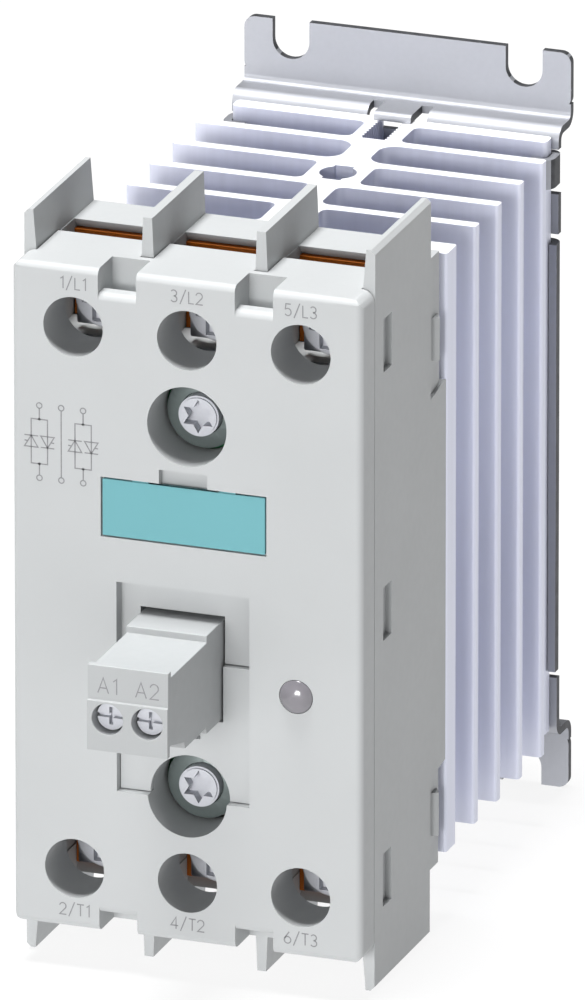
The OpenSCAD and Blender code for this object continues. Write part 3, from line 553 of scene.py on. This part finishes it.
def add_markings():
    cover_print = bmesh.new()
    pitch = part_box("screw_l3")[0].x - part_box("screw_l2")[0].x
    for words, base in NUMBER_ROWS:
        for column, word in enumerate(words):
            centre = (column - 1) * pitch + NUMBER_SHIFT
            draw_word(cover_print, word, centre, base, NUMBER_HEIGHT, FRONT, NUMBER_SPACE)
    circuit_symbol(cover_print, FRONT)
    finish_piece("cover_markings", cover_print, "relay", "ink")

    plug_print = bmesh.new()
    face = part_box("plug_body")[0].y + PLUG_FACE_SETBACK
    for screw, word in PLUG_NAMES:
        low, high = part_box(screw)
        centre = (low.x + high.x) / 2
        draw_word(plug_print, word, centre, PLUG_NAME_BASE, PLUG_NAME_HEIGHT, face, PLUG_NAME_SPACE)
    finish_piece("plug_markings", plug_print, "control_plug", "ink")


# ---------------------------------------------------------------- latch spring

SPRING_TURNS = 6
SPRING_STEPS = 30 * SPRING_TURNS
SPRING_SIDES = 12
# Half the thickness of the wire
SPRING_WIRE = 0.28 * MM


def add_spring():
    """A smooth coil in place of the CAD one."""
    low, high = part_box("latch_spring")
    centre = (low + high) / 2
    radius = (high.x - low.x) / 2 - SPRING_WIRE
    rise = high.z - low.z - 2 * SPRING_WIRE
    mesh = bmesh.new()
    rings = []
    for i in range(SPRING_STEPS + 1):
        turn = 2 * math.pi * SPRING_TURNS * i / SPRING_STEPS
        middle = low.z + SPRING_WIRE + rise * i / SPRING_STEPS
        ring = []
        for k in range(SPRING_SIDES):
            around = 2 * math.pi * k / SPRING_SIDES
            reach = radius + SPRING_WIRE * math.cos(around)
            place = (centre.x + reach * math.cos(turn), centre.y + reach * math.sin(turn))
            ring.append(mesh.verts.new((*place, middle + SPRING_WIRE * math.sin(around))))
        rings.append(ring)
    for before, after in zip(rings, rings[1:]):
        for k in range(SPRING_SIDES):
            n = (k + 1) % SPRING_SIDES
            mesh.faces.new((before[k], before[n], after[n], after[k])).smooth = True
    mesh.faces.new(rings[0][::-1])
    mesh.faces.new(rings[-1])
    coil = finish_piece("latch_spring_coil", mesh, "relay", "spring_steel")
    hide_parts("latch_spring")
    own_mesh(coil)


# ---------------------------------------------------------------- studio

# Direction of each sun, its level on a white face square to it, and its spread in degrees
OVERHEAD_SUN = ((0.1, 0.05, -1.0), 1.77, 20)
FRONT_SUN = ((0.04, 1.0, -0.1), 0.88, 26)
# Brightness of the studio round the object, from straight down to straight up
SKY = ((0.0, 0.5), (0.5, 0.6), (0.56, 0.3), (0.66, 0.1), (0.8, 0.04), (1.0, 0.06))
# Blue of the studio against its red and green
SKY_BLUE = 1.02
FLOOR_HALF = 25
FLOOR_GAP = 0.05 * MM
FLOOR_GLOW = 0.88


def add_sun(name, direction, painted_shade_flat, spread):
    data = bpy.data.lights.new(name, "SUN")
    data.energy = painted_shade_flat * math.pi
    data.angle = math.radians(spread)
    light = bpy.data.objects.new(name, data)
    light.rotation_mode = "QUATERNION"
    light.rotation_quaternion = Vector(direction).to_track_quat("-Z", "Y")
    bpy.context.scene.collection.objects.link(light)


def add_world():
    """A pale horizon that darkens overhead, which gives bright metal something to mirror."""
    world = bpy.data.worlds.new("studio")
    bpy.context.scene.world = world
    world.use_nodes = True
    tree = world.node_tree
    place = tree.nodes.new("ShaderNodeTexCoord")
    height = tree.nodes.new("ShaderNodeSeparateXYZ")
    scale = tree.nodes.new("ShaderNodeMapRange")
    scale.inputs["From Min"].default_value = -1
    ramp = tree.nodes.new("ShaderNodeValToRGB")
    for i, (position, painted_shade_flat) in enumerate(SKY):
        if i > 1:
            ramp.color_ramp.elements.new(position)
        element = ramp.color_ramp.elements[i]
        element.position = position
        element.color = (painted_shade_flat, painted_shade_flat, painted_shade_flat * SKY_BLUE, 1)
    tree.links.new(place.outputs["Generated"], height.inputs["Vector"])
    tree.links.new(height.outputs["Z"], scale.inputs["Value"])
    tree.links.new(scale.outputs["Result"], ramp.inputs["Fac"])
    tree.links.new(ramp.outputs["Color"], tree.nodes["Background"].inputs["Color"])


def add_floor():
    mesh = bpy.data.meshes.new("floor")
    half = FLOOR_HALF
    corners = [(-half, -half, 0), (half, -half, 0), (half, half, 0), (-half, half, 0)]
    mesh.from_pydata(corners, [], [(0, 1, 2, 3)])
    floor = bpy.data.objects.new("floor", mesh)
    floor.location.z = cad_box[0].z - FLOOR_GAP
    bpy.context.scene.collection.objects.link(floor)
    s = Shader("floor")
    s.set(Roughness=0.9, Emission_Strength=FLOOR_GLOW, Emission_Color=(1, 1, 1, 1))
    s.colour(s.ramp(s.noise(3, 2), (0.075, 0.075, 0.076), (0.08, 0.08, 0.081)))
    mesh.materials.append(s.material)


def add_studio():
    add_world()
    add_floor()
    add_sun("overhead", *OVERHEAD_SUN)
    add_sun("front", *FRONT_SUN)
    bpy.context.scene.view_settings.view_transform = "Standard"
    bpy.context.scene.cycles.use_denoising = True


add_camera()
dress_nodes()
add_markings()
add_spring()
add_studio()
